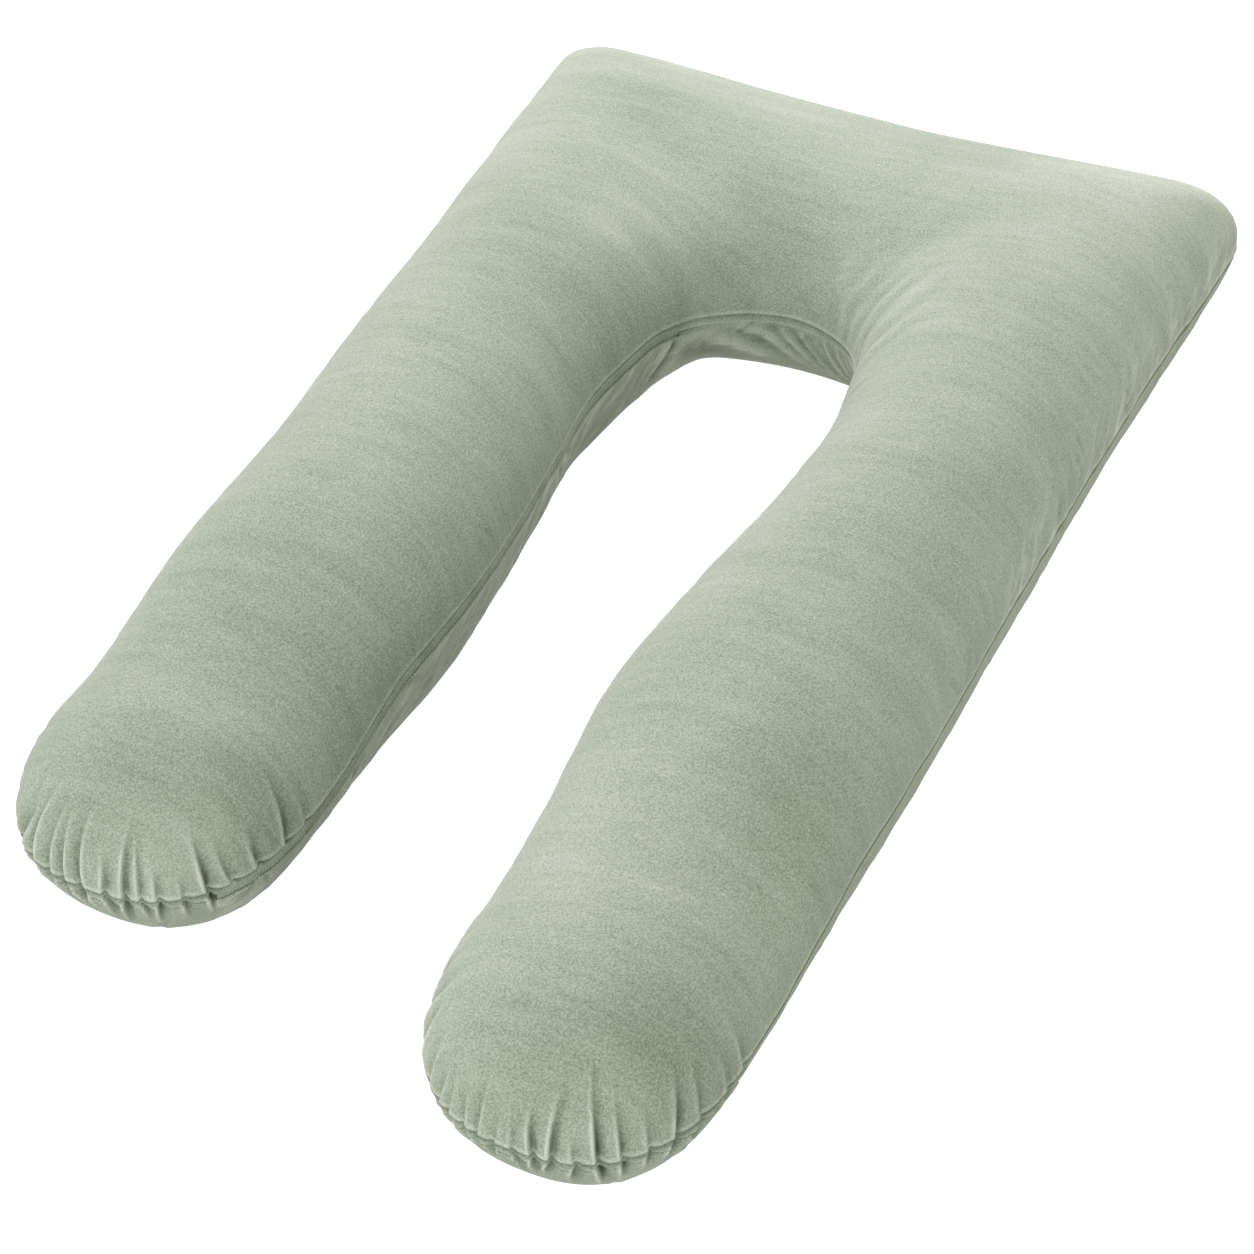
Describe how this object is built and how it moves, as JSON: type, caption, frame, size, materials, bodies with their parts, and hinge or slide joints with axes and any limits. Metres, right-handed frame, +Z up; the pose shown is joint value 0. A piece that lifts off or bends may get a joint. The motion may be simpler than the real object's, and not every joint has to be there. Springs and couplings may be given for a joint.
{
  "type": "pregnancy pillow",
  "caption": "U-shaped body pillow in short-pile velvet, filled, with a seam all round, gathered leg tips and a placket along the inner side of one leg.",
  "frame": {"origin": "centre of the bounding box at the height of the underside", "axes": "+Z up from the surface the pillow lies on, +Y from the open legs to the closed head of the U, +X to the right seen from the open end"},
  "size_m": [0.796, 1.4372, 0.2508],
  "materials": {
    "velvet": "matte",
    "placket_cloth": "matte"
  },
  "bodies": {
    "root": {"pillow": "velvet", "zip_placket": "placket_cloth"}
  },
  "joints": []
}
